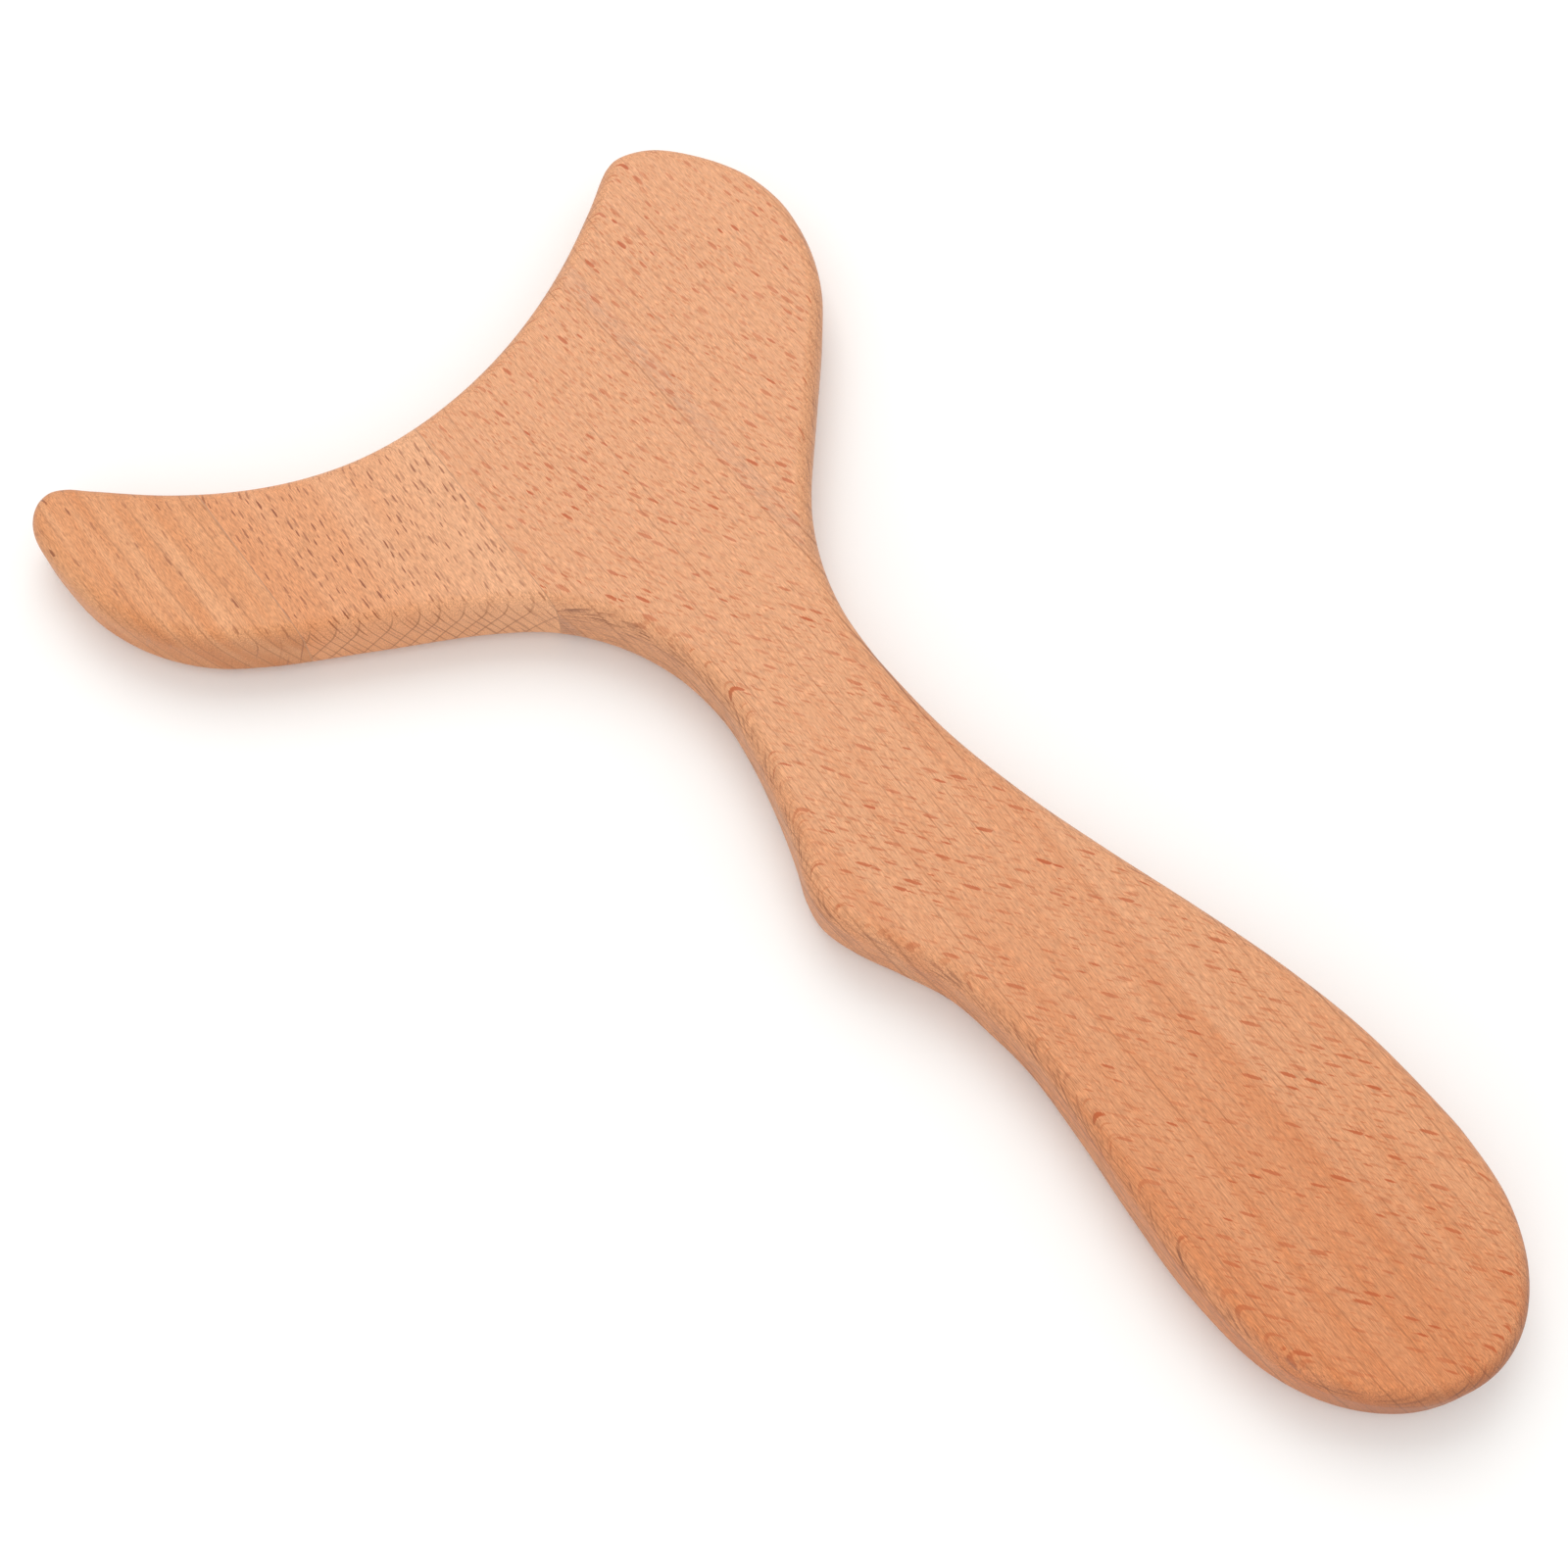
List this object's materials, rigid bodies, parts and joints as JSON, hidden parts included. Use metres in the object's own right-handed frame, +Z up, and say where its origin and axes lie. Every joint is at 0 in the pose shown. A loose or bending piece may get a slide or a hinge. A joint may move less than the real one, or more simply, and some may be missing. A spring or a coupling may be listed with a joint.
{
  "type": "massage paddle",
  "caption": "Flat beech massage paddle with a contoured grip and a whale-tail head whose hollow end edge is drawn along a limb.",
  "frame": {"origin": "middle of the plan outline's box, on the lower face that lies on the table", "axes": "+X along the grain towards the butt of the grip, +Y towards the long horn, +Z up out of the upper face"},
  "size_m": [0.31, 0.1726, 0.015],
  "materials": {
    "rift_sawn_beech": "sanded and lightly oiled, satin",
    "flat_sawn_beech": "sanded and lightly oiled, satin",
    "tip_beech": "sanded and lightly oiled, satin",
    "wood_glue": "hard dried wood glue, sanded flush"
  },
  "bodies": {
    "root": {"grip_and_long_horn_board": "rift_sawn_beech", "short_horn_board": "flat_sawn_beech", "short_horn_tip_board": "tip_beech", "inner_glue_line": "wood_glue", "outer_glue_line": "wood_glue"}
  },
  "joints": []
}
